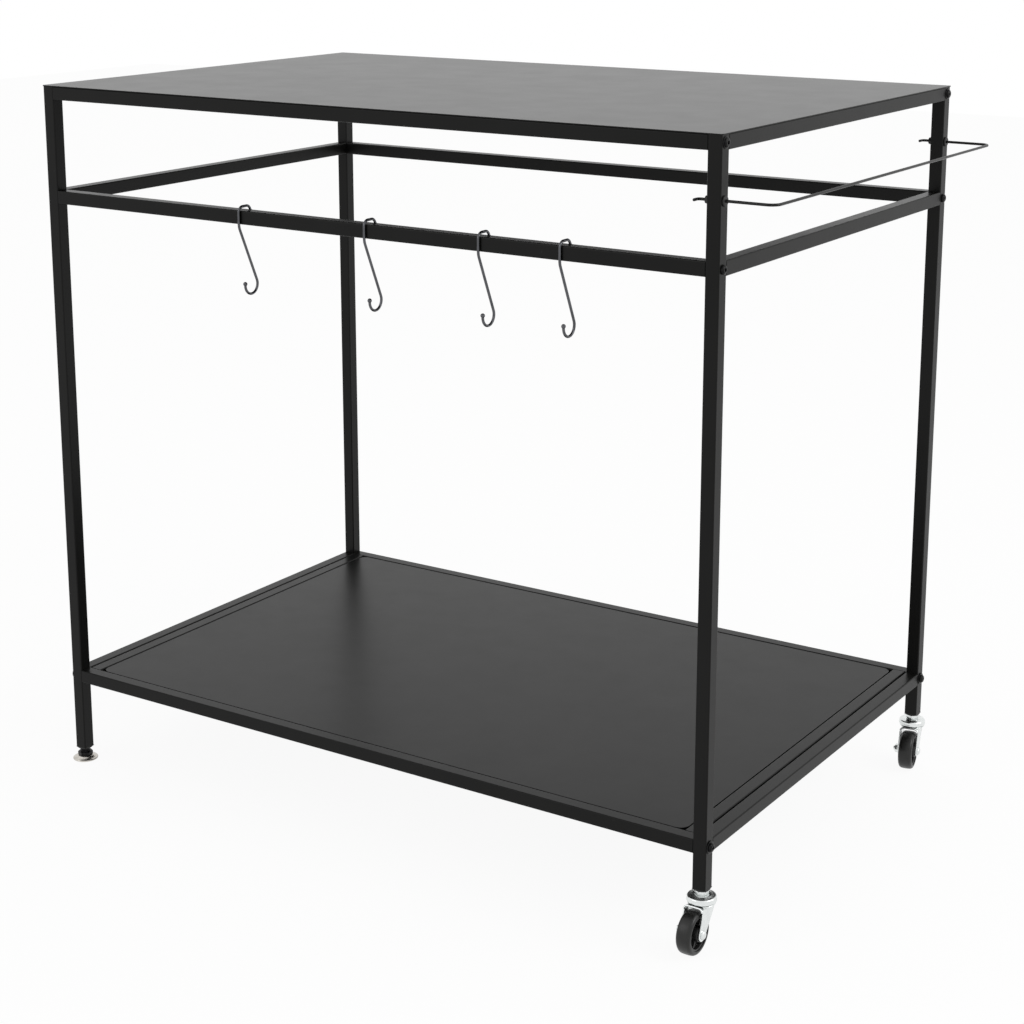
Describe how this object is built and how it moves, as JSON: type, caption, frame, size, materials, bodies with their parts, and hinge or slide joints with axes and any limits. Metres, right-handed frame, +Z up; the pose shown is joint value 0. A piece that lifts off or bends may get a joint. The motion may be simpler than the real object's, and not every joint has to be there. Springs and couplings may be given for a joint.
{
  "type": "bar cart on wheels",
  "caption": "Two-tier black steel work cart with swivel casters at one end, levelling feet at the other, a sliding towel bar and S-hooks.",
  "frame": {"origin": "on the floor, under the middle of the whole outline (bounding box bottom centre)", "axes": "+X along the length towards the caster and towel-bar end, -Y towards the side with the S-hooks, +Z up"},
  "size_m": [1.0178, 0.6554, 0.9],
  "materials": {
    "powder_coat": "black satin powder coat with a fine orange-peel",
    "black_bolts": "black-oxide steel",
    "black_nylon": "moulded black nylon",
    "zinc": "bright zinc plating",
    "gunmetal": "polished black chrome wire",
    "tyre": "hard black rubber",
    "nickel": "satin nickel plating"
  },
  "bodies": {
    "frame": {"front_left_leg": "powder_coat", "rear_left_leg": "powder_coat", "front_right_leg": "powder_coat", "rear_right_leg": "powder_coat", "left_top_crossbar": "powder_coat", "left_mid_crossbar": "powder_coat", "left_shelf_crossbar": "powder_coat", "right_top_crossbar": "powder_coat", "right_mid_crossbar": "powder_coat", "right_shelf_crossbar": "powder_coat", "front_top_rail": "powder_coat", "rear_top_rail": "powder_coat", "front_mid_rail": "powder_coat", "rear_mid_rail": "powder_coat", "front_shelf_rail": "powder_coat", "rear_shelf_rail": "powder_coat", "left_tray_tube": "powder_coat", "right_tray_tube": "powder_coat", "top_braces": "powder_coat", "shelf_braces": "powder_coat", "top_panel": "powder_coat", "shelf_panel": "powder_coat", "top_bolts": "black_bolts", "mid_bolts": "black_bolts", "shelf_bolts": "black_bolts", "shelf_washers": "black_bolts", "foot_sockets": "black_nylon", "caster_sockets": "black_nylon", "bar_bushings": "black_nylon", "rail_inserts": "zinc", "front_caster_stem": "zinc", "front_caster_cap": "zinc", "front_caster_balls": "zinc", "rear_caster_stem": "zinc", "rear_caster_cap": "zinc", "rear_caster_balls": "zinc"},
    "towel_bar": {"towel_bar": "powder_coat"},
    "hook_1": {"s_hook_1": "gunmetal"},
    "hook_2": {"s_hook_2": "gunmetal"},
    "hook_3": {"s_hook_3": "gunmetal"},
    "hook_4": {"s_hook_4": "gunmetal"},
    "front_fork": {"front_caster_fork": "zinc", "front_axle_bolt": "zinc", "front_axle_nut": "zinc", "front_axle_sleeve": "zinc"},
    "front_wheel": {"front_wheel_core": "black_nylon", "front_tyre": "tyre"},
    "front_foot": {"front_foot_screw": "black_nylon", "front_foot_disc": "nickel"},
    "rear_fork": {"rear_caster_fork": "zinc", "rear_axle_bolt": "zinc", "rear_axle_nut": "zinc", "rear_axle_sleeve": "zinc"},
    "rear_wheel": {"rear_wheel_core": "black_nylon", "rear_tyre": "tyre"},
    "rear_foot": {"rear_foot_screw": "black_nylon", "rear_foot_disc": "nickel"}
  },
  "joints": [
    {"name": "towel_bar_slide", "type": "slide", "parent": "frame", "child": "towel_bar", "axis": [1, 0, 0], "range_m": [-0.044, 0.0045]},
    {"name": "hook_1_slide", "type": "slide", "parent": "frame", "child": "hook_1", "axis": [1, 0, 0], "range_m": [-0.2915, 0.0865]},
    {"name": "hook_2_slide", "type": "slide", "parent": "frame", "child": "hook_2", "axis": [1, 0, 0], "range_m": [-0.0865, 0.072]},
    {"name": "hook_3_slide", "type": "slide", "parent": "frame", "child": "hook_3", "axis": [1, 0, 0], "range_m": [-0.072, 0.0465]},
    {"name": "hook_4_slide", "type": "slide", "parent": "frame", "child": "hook_4", "axis": [1, 0, 0], "range_m": [-0.0465, 0.1675]},
    {"name": "front_swivel", "type": "hinge", "parent": "frame", "child": "front_fork", "pos_m": [0.44107, -0.28275, 0.06], "axis": [0, 0, 1], "continuous": true},
    {"name": "front_wheel_spin", "type": "hinge", "parent": "front_fork", "child": "front_wheel", "pos_m": [0.44107, -0.30275, 0.025], "axis": [1, 0, 0], "continuous": true},
    {"name": "rear_swivel", "type": "hinge", "parent": "frame", "child": "rear_fork", "pos_m": [0.44107, 0.31075, 0.06], "axis": [0, 0, 1], "continuous": true},
    {"name": "rear_wheel_spin", "type": "hinge", "parent": "rear_fork", "child": "rear_wheel", "pos_m": [0.44489, 0.29112, 0.025], "axis": [0.9816, 0.1908, 0], "continuous": true},
    {"name": "front_foot_screw_travel", "type": "slide", "parent": "frame", "child": "front_foot", "axis": [0, 0, 1], "range_m": [-0.015, 0]},
    {"name": "rear_foot_screw_travel", "type": "slide", "parent": "frame", "child": "rear_foot", "axis": [0, 0, 1], "range_m": [-0.015, 0]}
  ]
}
